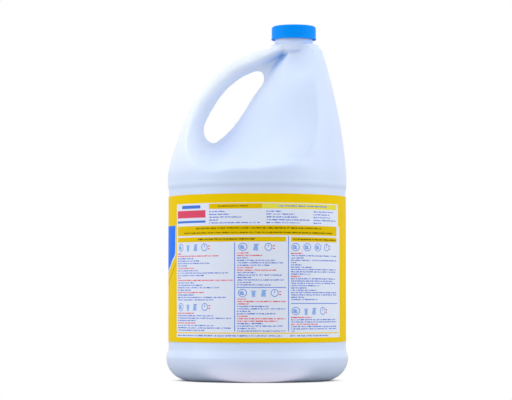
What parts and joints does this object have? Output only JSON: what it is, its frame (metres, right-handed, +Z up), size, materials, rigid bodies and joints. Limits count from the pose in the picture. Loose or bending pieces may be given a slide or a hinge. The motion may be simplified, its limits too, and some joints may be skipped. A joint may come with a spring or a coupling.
{
  "type": "bleach bottle",
  "caption": "Round blow-moulded jug with a hollow grip, a wrap-around label and a screw cap over a foam sealing disc.",
  "frame": {"origin": "centre of the round foot, on the surface that the bottle stands on", "axes": "+Z up, +X from the grip towards the neck, the label's front faces -Y"},
  "size_m": [0.1614, 0.1614, 0.3153],
  "materials": {
    "bottle": "satin pale blue-white polyethylene",
    "label": "printed film, yellow with a white panel",
    "cap": "blue polypropylene",
    "cap_liner": "white foam"
  },
  "bodies": {
    "bottle": {"bottle": "bottle", "label": "label"},
    "liner": {"cap_liner": "cap_liner"},
    "cap": {"cap": "cap"}
  },
  "joints": [
    {"name": "liner_lift", "type": "slide", "parent": "bottle", "child": "liner", "axis": [0, 0, 1], "range_m": [0, 0.0168]},
    {"name": "cap_turn", "type": "hinge", "parent": "liner", "child": "cap", "pos_m": [0.03268, 0, 0.31], "axis": [0, 0, 1], "range_deg": [0, 1441]}
  ],
  "couplings": [
    {"joint": "cap_turn", "follows": "liner_lift", "rad_per_m": 1496}
  ]
}
